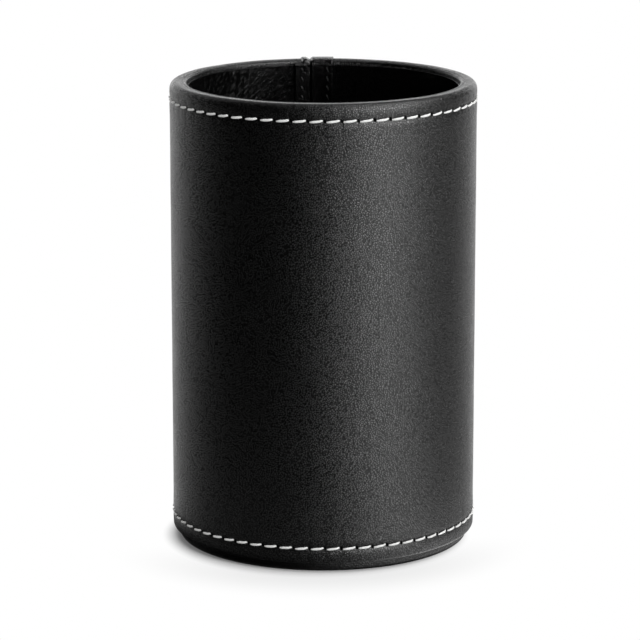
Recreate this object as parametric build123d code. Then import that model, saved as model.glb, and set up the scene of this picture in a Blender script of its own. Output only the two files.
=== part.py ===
from build123d import *
import math
import os

# A round pen cup: a board tube and floor covered in black leather, lined with thin leather and sewn.
# Lengths are in millimetres. The origin is the centre of the underside, +Z is up, the seam is at +Y.

# Overall size
outer_radius = 40.0
height = 121.5

# Leather cover, turned in over the rim and under the floor
leather = 1.2
hem = 0.9
hem_depth = 12.0
turn_under = 10.0
rim_outer_round = 1.8
rim_inner_round = 0.7
foot_round = 0.6
glue_line = 0.05

# Board core
rim_board = 2.3
floor_board = 3.0
board_bevel = 0.3

# Lining
lining = 0.5
lining_drop = 1.3
floor_lining = 0.5

# Base disc, set in from the wall
base_thickness = 2.5
base_inset = 1.8
base_edge_round = 0.5

# Back seam: the cover's two ends fold in through the wall and back over the lining
seam_gap = 0.3
fold_round = 1.0
flap = 0.75
flap_floor_gap = 0.1
left_flap_width = 4.4
right_flap_width = 5.8
rim_hump = 0.45
left_hump_width = 2.4
right_hump_width = 5.8

# White stitch rows
thread = 0.6
thread_rise = 0.48
thread_clearance = 0.03
stitch_share = 0.8
stitch_slant = 8.0
top_row_drop = 4.3
bottom_row_rise = 6.4
top_pitch = 4.28
bottom_pitch = 4.135
row_start = 1.3
groove_depth = 0.2
groove_floor = 1.4
groove_mouth = 2.2

# Black seam stitching
seam_thread = 0.45
seam_thread_rise = 0.3
seam_stitch = 1.5
seam_pitch = 2.5
seam_slant = 22.0
left_seam_inset = 2.35
right_seam_inset = 4.5
seam_row_rim_margin = 2.6
seam_row_floor_margin = 2.5
seam_row_stitch_margin = 2.6

# How far cutting tools run past what they cut
overrun = 1.0

# Section of a stitch: height and width shares, round the thread from one side of its seat to the other
white_section_shares = [(0, -0.35), (0.5, -0.5), (1, -0.2), (1, 0.2), (0.5, 0.5), (0, 0.35)]
black_section_shares = [(0, -0.5), (1, -0.3), (1, 0.3), (0, 0.5)]
# Places along a stitch and the size of its section there
white_station_shares = [(-0.5, 0.5), (-0.34, 1), (0.34, 1), (0.5, 0.5)]
black_station_shares = [(-0.5, 0.5), (0, 1), (0.5, 0.5)]

# Radii and levels that the pieces share
core_radius = outer_radius - leather
hem_radius = core_radius - rim_board
inner_radius = hem_radius - hem
lining_radius = inner_radius - lining
flap_radius = lining_radius - flap
turn_level = base_thickness + leather
floor_level = turn_level + floor_board
cup_floor = floor_level + floor_lining
hem_level = height - hem_depth
slot_half_width = seam_gap / 2 + leather
seam_angle = 90.0


def box_section(inner, outer, low, high):
    """A rectangle of radius and height, drawn flat with radius along X and height along Y."""
    middle = Pos((inner + outer) / 2, (low + high) / 2)
    return middle * Rectangle(outer - inner, high - low)


def corner_of(section, place):
    """The section's corner nearest a place."""
    return section.vertices().sort_by_distance(Vector(*place))[0]


def rounded(section, place, radius):
    """The section with the corner nearest a place rounded."""
    return fillet(corner_of(section, place), radius)


def bevelled(section, place, width):
    """The section with the corner nearest a place cut off at 45 degrees."""
    return chamfer(corner_of(section, place), width)


def turned(section, angle=360.0):
    """The section turned about Z, from the XZ plane through the angle."""
    return revolve(Plane.XZ * section, Axis.Z, revolution_arc=angle)


def at_seam(section, width, side):
    """The section turned through a width, measured round the wall, on one side of the seam."""
    angle = math.degrees(width / outer_radius)
    start = seam_angle if side < 0 else seam_angle - angle
    return Rot(0, 0, start) * turned(section, angle)


def seam_slot(half_width):
    """The space that the folded ends pass through, cut across the wall at the seam."""
    depth = outer_radius - flap_radius + 2 * overrun
    tall = height + 2 * overrun
    centre = Pos(0, (outer_radius + flap_radius) / 2, height / 2)
    return centre * Box(2 * half_width, depth, tall)


def core_tube(grow=0.0):
    """Board tube of the wall, rebated inside the rim for the turned-in cover and bevelled where it bends."""
    low = turn_level + glue_line - grow
    high = height - leather - glue_line + grow
    inner = inner_radius + glue_line - grow
    outer = core_radius - glue_line + grow
    rebate = hem_radius + glue_line - grow
    section = box_section(rebate, outer, low, high)
    section += box_section(inner, rebate, low, hem_level - glue_line + grow)
    rim_bevel = max(rim_outer_round - leather, board_bevel)
    lip_bevel = max(rim_inner_round - hem, board_bevel)
    toe_bevel = max(foot_round - leather, board_bevel)
    section = bevelled(section, (outer, high), rim_bevel + grow)
    section = bevelled(section, (rebate, high), lip_bevel + grow)
    section = bevelled(section, (outer, low), toe_bevel + grow)
    return turned(section) - seam_slot(slot_half_width + glue_line - grow)


def core_floor():
    """Board disc that closes the tube."""
    return turned(box_section(0, inner_radius, turn_level + glue_line, floor_level))


def lining_wall(grow=0.0):
    """Thin leather on the inside of the tube and of the turned-in hem, open at the seam."""
    low = floor_level + glue_line - grow
    high = height - lining_drop + grow
    section = box_section(lining_radius - grow, inner_radius + grow, low, high)
    return turned(section) - seam_slot(slot_half_width + glue_line - grow)


def lining_floor():
    """Thin leather disc on the floor board."""
    return turned(box_section(0, lining_radius - glue_line, floor_level + glue_line, cup_floor))


def base_disc():
    """Disc glued under the turned-in cover, which the cup stands on."""
    radius = outer_radius - base_inset
    section = box_section(0, radius, 0, base_thickness - glue_line)
    return turned(rounded(section, (radius, 0), base_edge_round))


def stitch_groove(level):
    """Section of the shallow channel that the thread pulls into the cover."""
    floor = outer_radius - groove_depth
    mouth = outer_radius + overrun
    flare = (groove_mouth - groove_floor) / 2 * (groove_depth + overrun) / groove_depth
    reach = groove_floor / 2 + flare
    corners = [
        (floor, level - groove_floor / 2),
        (mouth, level - reach),
        (mouth, level + reach),
        (floor, level + groove_floor / 2),
    ]
    return make_face(Polyline(*corners, close=True))


def cover_skin():
    """The cover round the outside, over the rim and under the floor, before the core is taken out of it."""
    backed = (hem_radius + core_radius) / 2
    section = box_section(backed, outer_radius, base_thickness, height)
    section += box_section(inner_radius, backed, hem_level, height)
    section += box_section(inner_radius - turn_under, backed, base_thickness, turn_level)
    section = rounded(section, (outer_radius, height), rim_outer_round)
    section = rounded(section, (inner_radius, height), rim_inner_round)
    section = rounded(section, (outer_radius, base_thickness), foot_round)
    section -= stitch_groove(height - top_row_drop)
    section -= stitch_groove(bottom_row_rise)
    return turned(section)


def seam_fold(side, flap_width, hump_width):
    """One end of the cover: through the slot, back over the lining as a flap and up over the rim."""
    web = box_section(inner_radius, outer_radius - groove_depth, base_thickness, height - rim_outer_round)
    strip_top = height - rim_inner_round / 2
    strip = box_section(flap_radius, inner_radius + hem / 2, cup_floor + flap_floor_gap, strip_top)
    strip = rounded(strip, (flap_radius, strip_top), rim_inner_round / 2)
    hump_top = height + rim_hump
    hump = box_section(flap_radius, outer_radius, height - rim_outer_round, hump_top)
    hump = rounded(hump, (outer_radius, hump_top), rim_outer_round)
    hump = rounded(hump, (flap_radius, hump_top), rim_inner_round)
    fold = at_seam(web, slot_half_width + overrun, side)
    fold += at_seam(strip, flap_width * outer_radius / flap_radius, side)
    fold += at_seam(hump, hump_width, side)
    return fold


def seam_slit():
    """The gap between the two folded ends, with the rounded mouth that a fold has outside."""
    half_gap = seam_gap / 2
    inside = flap_radius - overrun
    outside = outer_radius + overrun
    bend = half_gap + fold_round
    gap = Pos(0, (inside + outside) / 2) * Rectangle(seam_gap, outside - inside)
    mouth = Pos(0, outside - (fold_round + overrun) / 2) * Rectangle(2 * bend, fold_round + overrun)
    for side in (-1, 1):
        mouth -= Pos(side * bend, outer_radius - fold_round) * Circle(fold_round)
    return extrude(gap + mouth, height + rim_hump + overrun)


def outer_leather():
    """The cover in one piece, with its folded ends, hollowed for the core and the lining."""
    cover = cover_skin()
    cover += seam_fold(-1, left_flap_width, left_hump_width)
    cover += seam_fold(1, right_flap_width, right_hump_width)
    cover -= core_tube(glue_line)
    cover -= lining_wall(glue_line)
    return cover - seam_slit()


def stitch(radius, outward, length, lean, width, rise, stations, outline):
    """One stitch on a cylinder about Z, at +X: outward is 1 outside the wall and -1 inside it."""
    seat = radius + outward * thread_clearance
    sections = []
    for along, size in stations:
        turn = along * length * math.cos(math.radians(lean)) / radius
        level = along * length * math.sin(math.radians(lean))
        out = Vector(math.cos(turn), math.sin(turn), 0)
        round_wall = Vector(-math.sin(turn), math.cos(turn), 0)
        run = round_wall * math.cos(math.radians(lean)) + Vector(0, 0, math.sin(math.radians(lean)))
        place = Plane(origin=out * seat + Vector(0, 0, level), x_dir=out * outward, z_dir=run)
        points = [(up * rise * size, across * width * size) for up, across in outline]
        sections.append(place * make_face(Polyline(*points, close=True)))
    return loft(sections, ruled=True)


def white_row(pitch, level):
    """A row of white stitches in its groove, from one side of the seam round to the other."""
    radius = outer_radius - groove_depth
    length = pitch * stitch_share
    stations, outline = white_station_shares, white_section_shares
    one = stitch(radius, 1, length, stitch_slant, thread, thread_rise, stations, outline)
    first = row_start + length / 2
    count = math.floor((2 * math.pi * outer_radius - 2 * first) / pitch) + 1
    row = []
    for number in range(count):
        angle = math.degrees((first + number * pitch) / outer_radius)
        row.append(Pos(0, 0, level) * Rot(0, 0, seam_angle - angle) * one)
    return Compound(children=row)


def seam_row(radius, outward, inset, low, high):
    """An upright row of black stitches beside the seam, inside or outside the wall."""
    lean = 90.0 + seam_slant
    stations, outline = black_station_shares, black_section_shares
    one = stitch(radius, outward, seam_stitch, lean, seam_thread, seam_thread_rise, stations, outline)
    angle = math.degrees(inset / flap_radius)
    count = math.floor((high - low) / seam_pitch) + 1
    row = []
    for number in range(count):
        level = high - number * seam_pitch
        row.append(Pos(0, 0, level) * Rot(0, 0, seam_angle - angle) * one)
    return Compound(children=row)


def inside_seam_row(inset):
    """The seam stitches that show inside the cup, on a flap."""
    return seam_row(flap_radius, -1, inset, cup_floor + seam_row_floor_margin, height - seam_row_rim_margin)


def outside_seam_row(inset):
    """The same seam's stitches on the back of the cup, between the two white rows."""
    low = bottom_row_rise + seam_row_stitch_margin
    high = height - top_row_drop - seam_row_stitch_margin
    return seam_row(outer_radius, 1, inset, low, high)


pieces = {
    "outer_leather": outer_leather(),
    "core_tube": core_tube(),
    "core_floor": core_floor(),
    "lining_wall": lining_wall(),
    "lining_floor": lining_floor(),
    "base_disc": base_disc(),
    "top_stitching": white_row(top_pitch, height - top_row_drop),
    "bottom_stitching": white_row(bottom_pitch, bottom_row_rise),
    "left_seam_thread_inside": inside_seam_row(-left_seam_inset),
    "right_seam_thread_inside": inside_seam_row(right_seam_inset),
    "left_seam_thread_outside": outside_seam_row(-left_seam_inset),
    "right_seam_thread_outside": outside_seam_row(right_seam_inset),
}

os.makedirs("parts", exist_ok=True)
for name, piece in pieces.items():
    export_step(piece, f"parts/{name}.step")
    print(name, len(piece.solids()), round(piece.volume, 2))
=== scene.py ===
"""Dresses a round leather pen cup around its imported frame, in metres, with +Z up and the seam at +Y.

The cup is a board core in a black leather cover, sewn with white thread near the rim and the foot. The
cover's two ends fold in through the wall at the back and lie over a thin lining, held by black seams.
"""
from __future__ import annotations

import logging
import math
import random
from dataclasses import dataclass
from enum import Enum
from typing import NamedTuple, Sequence

import bmesh
import bpy
from bmesh.types import BMEdge, BMesh, BMFace, BMVert
from mathutils import Matrix, Vector, noise

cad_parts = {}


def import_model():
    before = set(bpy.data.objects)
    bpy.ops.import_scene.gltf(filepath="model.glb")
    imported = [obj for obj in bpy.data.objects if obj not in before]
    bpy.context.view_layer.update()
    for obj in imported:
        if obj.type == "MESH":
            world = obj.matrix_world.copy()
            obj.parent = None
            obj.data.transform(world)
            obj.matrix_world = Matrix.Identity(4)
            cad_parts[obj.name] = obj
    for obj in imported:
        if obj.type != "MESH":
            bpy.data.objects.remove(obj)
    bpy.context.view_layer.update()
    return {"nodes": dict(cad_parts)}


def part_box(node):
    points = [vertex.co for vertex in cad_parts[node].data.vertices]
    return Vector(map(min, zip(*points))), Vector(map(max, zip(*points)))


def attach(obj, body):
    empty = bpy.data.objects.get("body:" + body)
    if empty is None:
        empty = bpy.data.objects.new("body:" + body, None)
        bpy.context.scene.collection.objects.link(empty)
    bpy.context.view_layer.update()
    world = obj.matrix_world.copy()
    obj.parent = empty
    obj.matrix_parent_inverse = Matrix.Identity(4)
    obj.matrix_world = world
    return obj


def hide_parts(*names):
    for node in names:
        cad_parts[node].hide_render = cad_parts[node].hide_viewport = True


LOG = logging.getLogger("pen_cup")
MM = 0.001
BODY = "root"
FULL_TURN = 2 * math.pi
SHARP_ANGLE = math.radians(50)
MERGE = 0.001 * MM
QUAD_CORNERS = 4

Colour = tuple[float, float, float]
Corner = tuple[float, float]
Socket = bpy.types.NodeSocket


class Side(Enum):
    """The two sides of the back seam, as seen from the front of the cup."""

    LEFT = -1
    RIGHT = 1


class Face(Enum):
    """The two faces of the wall, with the way that each one looks along a radius."""

    INSIDE = -1
    OUTSIDE = 1


class Axis(Enum):
    """The two axes of an outline, which lies in the XZ plane."""

    RADIUS = (1, 0, 0)
    HEIGHT = (0, 0, 1)


class Slot(Enum):
    """The record's material slots for the pieces that are made here."""

    COVER = "black_leather"
    LINING = "lining_leather"
    BASE = "base_board"
    WHITE_THREAD = "white_thread"
    BLACK_THREAD = "black_thread"


class Span(NamedTuple):
    """The two values between which something eases.

    Attributes:
        start: Value at which it starts to change.
        end: Value at which it has changed.
    """

    start: float
    end: float


def grey(level: float) -> Colour:
    """A colour with the same level in all three channels."""
    return level, level, level


def smooth_step(low: float, high: float, value: float) -> float:
    """Ease from 0 at low to 1 at high."""
    share = min(max((value - low) / (high - low), 0.0), 1.0)
    return share * share * (3 - 2 * share)


def bell(distance: float, width: float) -> float:
    """A smooth hump, 1 at no distance and about a third at the width."""
    return math.exp(-((distance / width) ** 2))


def clockwise(place: Vector) -> float:
    """Angle of a place round Z, clockwise from the seam as seen from above, from 0 to a full turn."""
    return math.atan2(place.x, place.y) % FULL_TURN


@dataclass(frozen=True)
class StitchLine:
    """Where a row of white stitches runs round the cover.

    Attributes:
        level: Height of the row.
        pitch: Distance from one stitch to the next, round the wall.
        radius: Radius that the pitch is measured on.
        start: Distance from the seam to the first stitch.
        stitch_share: Share of the pitch that the thread shows for.
    """

    level: float
    pitch: float
    radius: float
    start: float = 1.3 * MM
    stitch_share: float = 0.8

    @property
    def stitch(self) -> float:
        """Length of one stitch."""
        return self.pitch * self.stitch_share

    @property
    def hole_share(self) -> float:
        """Place of the needle hole in each pitch, halfway between two stitches."""
        return (1 + self.stitch_share) / 2

    def angles(self) -> list[float]:
        """Works out where the stitches lie.

        Returns:
            Their angles about Z, from +X.
        """
        first = self.start + self.stitch / 2
        count = math.floor((FULL_TURN * self.radius - 2 * first) / self.pitch) + 1
        return [math.pi / 2 - (first + number * self.pitch) / self.radius for number in range(count)]

    def from_hole(self, angle: float) -> float:
        """Signed distance along the row to the nearest needle hole, at a clockwise angle from the seam."""
        pitches = (angle * self.radius - self.start) / self.pitch - self.hole_share
        return (pitches - round(pitches)) * self.pitch


@dataclass(frozen=True)
class Cup:
    """Sizes that several pieces share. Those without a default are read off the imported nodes.

    Attributes:
        outer_radius: Radius of the cover.
        height: Height of the rim, without the humps at the seam.
        base_radius: Radius of the base disc.
        base_top: Height of the base disc's top, where the cover starts.
        inner_radius: Radius of the inside of the wall, behind the lining.
        lining_low: Height of the lining's lower edge.
        lining_high: Height of its upper edge, below the rim.
        floor_low: Height of the underside of the floor's lining.
        floor_high: Height of its face.
        rows: The two rows of white stitches, the top one first.
        top_pitch: Pitch of the top row.
        bottom_pitch: Pitch of the bottom row.
        rim_hump: How far the cover's folded ends rise above the rim.
        seam_tilt: Slope of the rim down to the inside, at the seam.
        tilt_place: How far from the inside that slope starts.
        leather: Thickness of the cover.
        lining: Thickness of the lining.
        flap: Thickness of the seam flaps over the lining.
        slit: Width of the seam's slit.
        fold_round: Round of the cover where it folds into the slit.
        fold_skin: Depth under the cover's face down to which all of it follows that round.
        rim_outer_round: Round of the rim's outer edge.
        rim_inner_round: Round of the rim's inner edge.
    """

    outer_radius: float
    height: float
    base_radius: float
    base_top: float
    inner_radius: float
    lining_low: float
    lining_high: float
    floor_low: float
    floor_high: float
    rows: tuple[StitchLine, ...]
    top_pitch: float = 4.28 * MM
    bottom_pitch: float = 4.135 * MM
    rim_hump: float = 0.45 * MM
    seam_tilt: float = math.tan(math.radians(5.5))
    tilt_place: float = 2.2 * MM
    leather: float = 1.2 * MM
    lining: float = 0.5 * MM
    flap: float = 0.75 * MM
    slit: float = 0.3 * MM
    fold_round: float = 1.0 * MM
    fold_skin: float = 0.3 * MM
    rim_outer_round: float = 1.8 * MM
    rim_inner_round: float = 0.7 * MM

    @classmethod
    def from_frame(cls) -> Cup:
        """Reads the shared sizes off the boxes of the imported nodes.

        Returns:
            The sizes.
        """
        cover_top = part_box("outer_leather")[1]
        base_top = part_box("base_disc")[1]
        lining_low, lining_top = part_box("lining_wall")
        floor_low, floor_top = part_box("lining_floor")
        rows = []
        for node, pitch in (("top_stitching", cls.top_pitch), ("bottom_stitching", cls.bottom_pitch)):
            low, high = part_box(node)
            rows.append(StitchLine((low.z + high.z) / 2, pitch, cover_top.x))
        return cls(
            outer_radius=cover_top.x,
            height=cover_top.z - cls.rim_hump,
            base_radius=base_top.x,
            base_top=base_top.z,
            inner_radius=lining_top.x,
            lining_low=lining_low.z,
            lining_high=lining_top.z,
            floor_low=floor_low.z,
            floor_high=floor_top.z,
            rows=tuple(rows),
        )

    @property
    def lining_radius(self) -> float:
        """Radius of the lining's face."""
        return self.inner_radius - self.lining

    @property
    def flap_radius(self) -> float:
        """Radius of the face of the seam flaps."""
        return self.lining_radius - self.flap

    def from_slit(self, place: Vector) -> float:
        """Distance round the wall from a place to the nearer edge of the seam's slit."""
        angle = clockwise(place)
        return min(angle, FULL_TURN - angle) * self.outer_radius - self.slit / 2

    def fold_dip(self, place: Vector) -> float:
        """How far the cover's face turns in towards the slit at a place on the outside.

        Args:
            place: A place on or just under the cover's face.

        Returns:
            The dip, at most the round of the fold.
        """
        rest = self.fold_round - max(self.from_slit(place), 0.0)
        if rest <= 0:
            return 0.0
        outer = smooth_step(-self.rim_outer_round, -self.fold_skin, place.xy.length - self.outer_radius)
        return outer * (self.fold_round - math.sqrt(max(self.fold_round ** 2 - rest ** 2, 0.0)))


class Place(NamedTuple):
    """A place on the object, in millimetres, as outputs of a shader.

    Attributes:
        vector: The place itself.
        angle: Clockwise angle from the seam, from 0 to a full turn.
        radius: Distance from the cup's axis.
        level: Height.
    """

    vector: Socket
    angle: Socket
    radius: Socket
    level: Socket


class Shader:
    """The nodes of a material or a world, with short calls that add and join them."""

    MIX_COLOURS = slice(6, 8)
    MIX_RESULT = 2

    def __init__(self, owner: bpy.types.Material | bpy.types.World, surface: str) -> None:
        """Starts from the owner's own surface node.

        Args:
            owner: The material or world to make.
            surface: Name of its surface node.
        """
        owner.use_nodes = True
        self.owner = owner
        self.tree = owner.node_tree
        self.surface = self.tree.nodes[surface]

    @classmethod
    def of_material(cls, name: str) -> Shader:
        """Starts a material with a bare Principled surface."""
        return cls(bpy.data.materials.new(name), "Principled BSDF")

    @classmethod
    def of_world(cls, name: str) -> Shader:
        """Starts a world with a bare Background."""
        return cls(bpy.data.worlds.new(name), "Background")

    def node(self, kind: str, **settings: object) -> bpy.types.Node:
        """Adds a node and sets its properties.

        Args:
            kind: Blender's name for the node.
            settings: Properties of the node by name.

        Returns:
            The node.
        """
        made = self.tree.nodes.new(kind)
        for key, value in settings.items():
            setattr(made, key, value)
        return made

    def feed(self, socket: Socket, value: object) -> None:
        """Joins a node's output to a socket, or sets the socket to a constant.

        Args:
            socket: The socket to fill.
            value: An output of another node, or a constant.
        """
        if isinstance(value, Socket):
            self.tree.links.new(value, socket)
        else:
            socket.default_value = value

    def set(self, **values: object) -> None:
        """Sets sockets of the surface, with underscores for the spaces in their names."""
        for key, value in values.items():
            self.feed(self.surface.inputs[key.replace("_", " ")], value)

    def math(self, operation: str, *values: object) -> Socket:
        """Adds one sum of numbers or outputs.

        Args:
            operation: Blender's name for the sum.
            values: Numbers or outputs, in the order of the node's sockets.

        Returns:
            The result.
        """
        made = self.node("ShaderNodeMath", operation=operation)
        for socket, value in zip(made.inputs, values):
            self.feed(socket, value)
        return made.outputs[0]

    def place(self) -> Place:
        """Works out the place on the object.

        Returns:
            The place, in millimetres.
        """
        scaled = self.node("ShaderNodeVectorMath", operation="SCALE")
        self.feed(scaled.inputs[0], self.node("ShaderNodeTexCoord").outputs["Object"])
        self.feed(scaled.inputs["Scale"], 1 / MM)
        x, y, z = self.axes(scaled.outputs[0])
        angle = self.math("WRAP", self.math("ARCTAN2", x, y), FULL_TURN, 0.0)
        square = self.math("MULTIPLY_ADD", x, x, self.math("MULTIPLY", y, y))
        return Place(scaled.outputs[0], angle, self.math("SQRT", square), z)

    def axes(self, vector: Socket) -> tuple[Socket, ...]:
        """Splits a vector.

        Args:
            vector: The vector.

        Returns:
            Its three numbers.
        """
        made = self.node("ShaderNodeSeparateXYZ")
        self.feed(made.inputs[0], vector)
        return tuple(made.outputs)

    def seen(self) -> Socket:
        """Tells what is seen straight, mirrored or through something clear.

        Returns:
            An output that is 1 for such a sight and 0 for light that falls on something.
        """
        path = self.node("ShaderNodeLightPath")
        straight = self.math("MAXIMUM", path.outputs["Is Camera Ray"], path.outputs["Is Glossy Ray"])
        return self.math("MAXIMUM", straight, path.outputs["Is Transmission Ray"])

    def ease(
        self, value: Socket, low: float | Socket, high: float, start: float = 0, end: float = 1,
    ) -> Socket:
        """Eases a value from start to end as it goes from low to high.

        Args:
            value: The output to ease.
            low: Value at the start of the slope.
            high: Value at the end of the slope.
            start: Result at or below low.
            end: Result at or above high.

        Returns:
            The eased output.
        """
        made = self.node("ShaderNodeMapRange", interpolation_type="SMOOTHSTEP")
        for socket, number in zip(made.inputs, (value, low, high, start, end)):
            self.feed(socket, number)
        return made.outputs[0]

    def bell(self, distance: Socket, width: float) -> Socket:
        """A smooth hump, 1 at no distance and about a third at the width."""
        share = self.math("DIVIDE", distance, width)
        return self.math("EXPONENT", self.math("MULTIPLY", self.math("MULTIPLY", share, share), -1.0))

    def texture(self, kind: str, vector: Socket, size: float, **settings: object) -> bpy.types.Node:
        """Adds a texture.

        Args:
            kind: Blender's name for the texture's node.
            vector: Place in millimetres.
            size: Rough size of its features in millimetres.
            settings: Properties of the node by name.

        Returns:
            The texture's node.
        """
        made = self.node(kind, **settings)
        self.feed(made.inputs["Vector"], vector)
        self.feed(made.inputs["Scale"], 1 / size)
        return made

    def noise(self, vector: Socket, size: float, detail: float = 2.0, roughness: float = 0.5) -> Socket:
        """Adds a noise.

        Args:
            vector: Place in millimetres.
            size: Rough size of its features in millimetres.
            detail: Number of finer layers.
            roughness: Share of its height that each finer layer has.

        Returns:
            The noise, from 0 to 1.
        """
        made = self.texture("ShaderNodeTexNoise", vector, size)
        self.feed(made.inputs["Detail"], detail)
        self.feed(made.inputs["Roughness"], roughness)
        return made.outputs[0]

    def cells(self, vector: Socket, size: float) -> Socket:
        """Distance to the edges of cells of about the given size in millimetres."""
        made = self.texture("ShaderNodeTexVoronoi", vector, size, feature="DISTANCE_TO_EDGE")
        return made.outputs["Distance"]

    def warped(self, vector: Socket, size: float, amount: float) -> Socket:
        """A vector pushed about by noise, so that a pattern on it looks grown.

        Args:
            vector: Place in millimetres.
            size: Size of the noise in millimetres.
            amount: How far the noise pushes, in millimetres.

        Returns:
            The pushed place.
        """
        made = self.texture("ShaderNodeTexNoise", vector, size)
        push = self.node("ShaderNodeVectorMath", operation="MULTIPLY_ADD")
        self.feed(push.inputs[0], made.outputs["Color"])
        self.feed(push.inputs[1], (amount, amount, amount))
        self.feed(push.inputs[2], vector)
        return push.outputs[0]

    def tint(self, share: Socket, first: Colour | Socket, second: Colour | Socket) -> Socket:
        """Mixes two colours.

        Args:
            share: Share of the second colour.
            first: Colour at a share of 0.
            second: Colour at a share of 1.

        Returns:
            The mixed colour.
        """
        made = self.node("ShaderNodeMix", data_type="RGBA")
        self.feed(made.inputs["Factor"], share)
        for socket, colour in zip(made.inputs[self.MIX_COLOURS], (first, second)):
            self.feed(socket, colour if isinstance(colour, Socket) else (*colour, 1))
        return made.outputs[self.MIX_RESULT]

    def bump(self, height: Socket, depth: float, normal: Socket | None = None) -> Socket:
        """Raises the surface where the height is 1.

        Args:
            height: Height, from 0 to 1.
            depth: Height of 1, in metres.
            normal: Normal of the bumps below this one.

        Returns:
            The new normal.
        """
        made = self.node("ShaderNodeBump")
        self.feed(made.inputs["Strength"], 1.0)
        self.feed(made.inputs["Distance"], depth)
        self.feed(made.inputs["Height"], height)
        if normal is not None:
            self.feed(made.inputs["Normal"], normal)
        return made.outputs[0]


@dataclass(frozen=True)
class NeedleHoles:
    """Slanted needle holes between the stitches of a row, in millimetres.

    Attributes:
        length: Half the length of a hole.
        width: Half its width.
        lean: Its lean from the row.
        rise: Height of its middle above the row.
        edge: Squared reach over which its edge slopes, where 1 is its outline.
        depth: Its depth, in metres.
        colour: Painted shade in the hole, near black.
    """

    length: float = 0.58
    width: float = 0.36
    lean: float = math.radians(52)
    rise: float = 0.1
    edge: Span = Span(0.6, 1.3)
    depth: float = 0.25 * MM
    colour: Colour = grey(0.0002)

    def mask(self, shader: Shader, place: Place, row: StitchLine) -> Socket:
        """An output that is 1 in the holes of a row.

        Args:
            shader: The material being made.
            place: Place on the object.
            row: The stitch row.

        Returns:
            The mask.
        """
        shift = -row.start / row.pitch - row.hole_share
        pitches = shader.math("MULTIPLY_ADD", place.angle, row.radius / row.pitch, shift)
        along = shader.math("MULTIPLY", shader.math("WRAP", pitches, 0.5, -0.5), row.pitch / MM)
        above = shader.math("SUBTRACT", place.level, row.level / MM + self.rise)
        cos, sin = math.cos(self.lean), math.sin(self.lean)
        rise = shader.math("MULTIPLY", above, sin / self.length)
        run = shader.math("MULTIPLY_ADD", along, cos / self.length, rise)
        lift = shader.math("MULTIPLY", above, cos / self.width)
        side = shader.math("MULTIPLY_ADD", along, -sin / self.width, lift)
        reach = shader.math("MULTIPLY_ADD", run, run, shader.math("MULTIPLY", side, side))
        return shader.ease(reach, *self.edge, 1, 0)


@dataclass(frozen=True)
class Gathers:
    """Small gathers where the leather is turned in over the rim, in millimetres.

    Attributes:
        radius: Radius of the face that they lie on.
        level: Height of their middle.
        pitch: Distance from one to the next.
        drift: Size of the noise that makes the pitch uneven.
        slope: Values of their wave between which they rise.
        tall: Half their height.
        depth: Their depth, in metres.
    """

    radius: float
    level: float
    pitch: float = 0.5
    drift: float = 1.5
    slope: Span = Span(-0.6, 1.0)
    tall: float = 0.45
    depth: float = 0.1 * MM

    def height(self, shader: Shader, place: Place) -> Socket:
        """Works out the gathers' height.

        Args:
            shader: The material being made.
            place: Place on the object.

        Returns:
            The height, from 0 to 1.
        """
        drift = shader.math("MULTIPLY", shader.noise(place.vector, self.drift), FULL_TURN)
        turns = shader.math("MULTIPLY_ADD", place.angle, FULL_TURN * self.radius / self.pitch, drift)
        wave = shader.ease(shader.math("SINE", turns), *self.slope)
        band = shader.bell(shader.math("SUBTRACT", place.level, self.level), self.tall)
        inside = shader.ease(place.radius, self.radius + self.tall, self.radius + 2 * self.tall, 1, 0)
        return shader.math("MULTIPLY", wave, shader.math("MULTIPLY", band, inside))


@dataclass(frozen=True)
class DrawnCreases:
    """Slanting creases where a lining is drawn round a curve, in millimetres.

    Attributes:
        radius: Radius of the lining.
        across: Width of a crease.
        along: Length of a crease.
        slant: Slope of the creases, up to the right as seen from inside.
        depth: Their depth, in metres.
        slope: Values of their noise between which they rise. Below them the lining is smooth.
    """

    radius: float
    across: float = 0.4
    along: float = 2.4
    slant: float = math.radians(42)
    depth: float = 0.11 * MM
    slope: Span = Span(0.54, 0.8)

    def height(self, shader: Shader, place: Place) -> Socket:
        """Works out the creases' height.

        Args:
            shader: The material being made.
            place: Place on the object.

        Returns:
            The height, from 0 to 1.
        """
        cos, sin = math.cos(self.slant), math.sin(self.slant)
        run = shader.math("MULTIPLY", place.angle, self.radius)
        drawn = shader.node("ShaderNodeCombineXYZ")
        for socket, size, (level, wall) in zip(
            drawn.inputs, (self.along, self.across), ((sin, cos), (cos, -sin)),
        ):
            rise = shader.math("MULTIPLY", place.level, level / size)
            shader.feed(socket, shader.math("MULTIPLY_ADD", run, wall / size, rise))
        return shader.ease(shader.noise(drawn.outputs[0], 1.0), *self.slope)


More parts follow.
